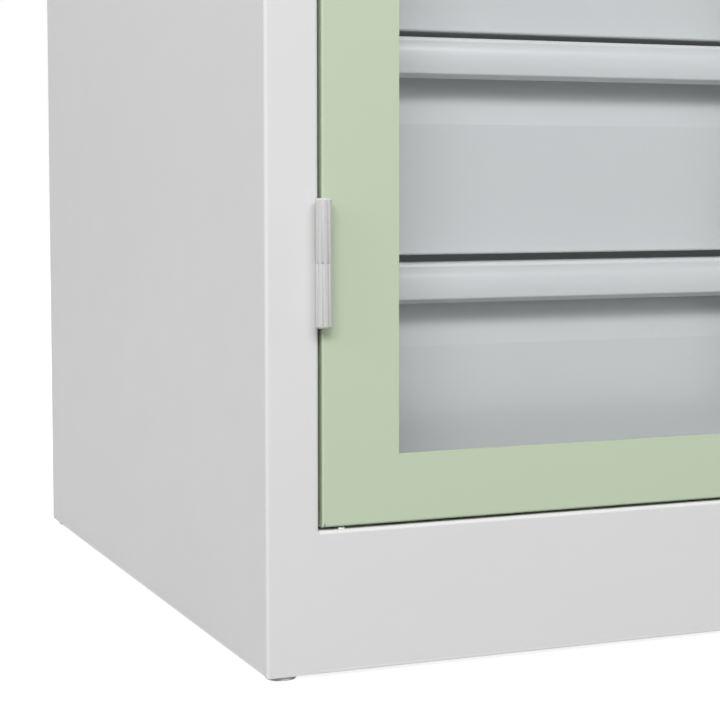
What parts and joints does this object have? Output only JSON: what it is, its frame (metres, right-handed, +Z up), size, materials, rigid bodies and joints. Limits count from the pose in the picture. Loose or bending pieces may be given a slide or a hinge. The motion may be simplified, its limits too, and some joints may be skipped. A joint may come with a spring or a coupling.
{
  "type": "storage cabinet",
  "caption": "Tall sheet-steel storage cabinet: see-through wing doors in folded frames, a turning handle with locking rods, shelves and telescopic drawers inside.",
  "frame": {"origin": "on the floor, in the middle of the area that the closed cabinet covers, handle included", "axes": "+X the cabinet's right, +Y its back, +Z up; the doors face -Y"},
  "size_m": [0.93, 0.6364, 1.95],
  "materials": {
    "body_paint": "light grey powder coat, satin",
    "door_paint": "pastel green powder coat, satin",
    "drawer_paint": "light grey powder coat, satin",
    "clear_pane": "clear polished acrylic sheet",
    "zinc_plate": "bright zinc plate, satin",
    "bright_steel": "bright turned steel",
    "lock_chrome": "polished chrome plate",
    "grip_plastic": "fine-grained moulded black plastic",
    "foot_plastic": "grey moulded plastic disc on a zinc-plated stem"
  },
  "bodies": {
    "carcass": {"left_side_panel": "body_paint", "right_side_panel": "body_paint", "back_panel": "body_paint", "top_panel": "body_paint", "header_rail": "body_paint", "plinth": "body_paint", "floor_panel": "body_paint", "foot_brackets": "zinc_plate", "door_rest_buttons": "bright_steel", "left_post_knuckles": "body_paint", "right_post_knuckles": "body_paint", "hinge_pins": "bright_steel", "slotted_uprights": "body_paint", "shelf_clips": "zinc_plate", "drawer_cover_shelf": "body_paint", "lower_shelf": "body_paint", "middle_shelf": "body_paint", "upper_shelf": "body_paint", "left_drawer_support": "body_paint", "right_drawer_support": "body_paint", "left_outer_slides": "zinc_plate", "right_outer_slides": "zinc_plate"},
    "left_door": {"left_door_tray": "door_paint", "left_door_pane": "clear_pane", "left_door_pane_frame": "zinc_plate", "left_door_knuckles": "body_paint", "left_door_meeting_strip": "door_paint"},
    "right_door": {"right_door_tray": "door_paint", "right_door_pane": "clear_pane", "right_door_pane_frame": "zinc_plate", "right_door_knuckles": "body_paint", "handle_plate": "grip_plastic", "lock_plate": "zinc_plate", "rod_guides": "zinc_plate"},
    "handle": {"turning_handle": "grip_plastic", "lock_cam": "zinc_plate"},
    "lock_core": {"lock_cylinder": "lock_chrome"},
    "upper_rod": {"upper_locking_rod": "zinc_plate"},
    "lower_rod": {"lower_locking_rod": "zinc_plate"},
    "drawer_1": {"drawer_1_front": "drawer_paint", "drawer_1_box": "drawer_paint", "drawer_1_rails": "zinc_plate"},
    "drawer_1_carriage": {"drawer_1_middle_slides": "zinc_plate"},
    "drawer_2": {"drawer_2_front": "drawer_paint", "drawer_2_box": "drawer_paint", "drawer_2_rails": "zinc_plate"},
    "drawer_2_carriage": {"drawer_2_middle_slides": "zinc_plate"},
    "drawer_3": {"drawer_3_front": "drawer_paint", "drawer_3_box": "drawer_paint", "drawer_3_rails": "zinc_plate"},
    "drawer_3_carriage": {"drawer_3_middle_slides": "zinc_plate"},
    "drawer_4": {"drawer_4_front": "drawer_paint", "drawer_4_box": "drawer_paint", "drawer_4_rails": "zinc_plate"},
    "drawer_4_carriage": {"drawer_4_middle_slides": "zinc_plate"},
    "front_left_foot_body": {"front_left_foot": "foot_plastic"},
    "front_right_foot_body": {"front_right_foot": "foot_plastic"},
    "rear_left_foot_body": {"rear_left_foot": "foot_plastic"},
    "rear_right_foot_body": {"rear_right_foot": "foot_plastic"}
  },
  "joints": [
    {"name": "right_door_swing", "type": "hinge", "parent": "carcass", "child": "right_door", "pos_m": [0.4289, -0.28815, 1.0042], "axis": [0, 0, 1], "range_deg": [0, 180]},
    {"name": "left_door_swing", "type": "hinge", "parent": "carcass", "child": "left_door", "pos_m": [-0.4289, -0.28815, 1.0042], "axis": [0, 0, 1], "range_deg": [-162, 0]},
    {"name": "handle_turn", "type": "hinge", "parent": "right_door", "child": "handle", "pos_m": [0.0274, -0.283, 1.05], "axis": [0, 1, 0], "range_deg": [0, 90]},
    {"name": "lock_cylinder_turn", "type": "hinge", "parent": "handle", "child": "lock_core", "pos_m": [0.0274, -0.31, 1.05], "axis": [0, 1, 0], "range_deg": [0, 90]},
    {"name": "upper_rod_slide", "type": "slide", "parent": "right_door", "child": "upper_rod", "axis": [0, 0, 1], "range_m": [0, 0.01414]},
    {"name": "lower_rod_slide", "type": "slide", "parent": "right_door", "child": "lower_rod", "axis": [0, 0, -1], "range_m": [0, 0.01414]},
    {"name": "drawer_1_slide", "type": "slide", "parent": "carcass", "child": "drawer_1", "axis": [0, -1, 0], "range_m": [0, 0.33]},
    {"name": "drawer_1_carriage_slide", "type": "slide", "parent": "carcass", "child": "drawer_1_carriage", "axis": [0, -1, 0], "range_m": [0, 0.165]},
    {"name": "drawer_2_slide", "type": "slide", "parent": "carcass", "child": "drawer_2", "axis": [0, -1, 0], "range_m": [0, 0.33]},
    {"name": "drawer_2_carriage_slide", "type": "slide", "parent": "carcass", "child": "drawer_2_carriage", "axis": [0, -1, 0], "range_m": [0, 0.165]},
    {"name": "drawer_3_slide", "type": "slide", "parent": "carcass", "child": "drawer_3", "axis": [0, -1, 0], "range_m": [0, 0.33]},
    {"name": "drawer_3_carriage_slide", "type": "slide", "parent": "carcass", "child": "drawer_3_carriage", "axis": [0, -1, 0], "range_m": [0, 0.165]},
    {"name": "drawer_4_slide", "type": "slide", "parent": "carcass", "child": "drawer_4", "axis": [0, -1, 0], "range_m": [0, 0.33]},
    {"name": "drawer_4_carriage_slide", "type": "slide", "parent": "carcass", "child": "drawer_4_carriage", "axis": [0, -1, 0], "range_m": [0, 0.165]},
    {"name": "front_left_foot_screw", "type": "slide", "parent": "carcass", "child": "front_left_foot_body", "axis": [0, 0, -1], "range_m": [-0.003, 0.02]},
    {"name": "front_right_foot_screw", "type": "slide", "parent": "carcass", "child": "front_right_foot_body", "axis": [0, 0, -1], "range_m": [-0.003, 0.02]},
    {"name": "rear_left_foot_screw", "type": "slide", "parent": "carcass", "child": "rear_left_foot_body", "axis": [0, 0, -1], "range_m": [-0.003, 0.02]},
    {"name": "rear_right_foot_screw", "type": "slide", "parent": "carcass", "child": "rear_right_foot_body", "axis": [0, 0, -1], "range_m": [-0.003, 0.02]}
  ],
  "couplings": [
    {"joint": "left_door_swing", "follows": "right_door_swing", "ratio": -0.9},
    {"joint": "upper_rod_slide", "follows": "lower_rod_slide", "ratio": 1},
    {"joint": "handle_turn", "follows": "lower_rod_slide", "rad_per_m": 111.07},
    {"joint": "drawer_1_slide", "follows": "right_door_swing", "m_per_rad": 0.105},
    {"joint": "drawer_1_carriage_slide", "follows": "right_door_swing", "m_per_rad": 0.0525},
    {"joint": "drawer_2_slide", "follows": "right_door_swing", "m_per_rad": 0.105},
    {"joint": "drawer_2_carriage_slide", "follows": "right_door_swing", "m_per_rad": 0.0525},
    {"joint": "drawer_3_slide", "follows": "right_door_swing", "m_per_rad": 0.105},
    {"joint": "drawer_3_carriage_slide", "follows": "right_door_swing", "m_per_rad": 0.0525},
    {"joint": "drawer_4_slide", "follows": "right_door_swing", "m_per_rad": 0.105},
    {"joint": "drawer_4_carriage_slide", "follows": "right_door_swing", "m_per_rad": 0.0525}
  ]
}
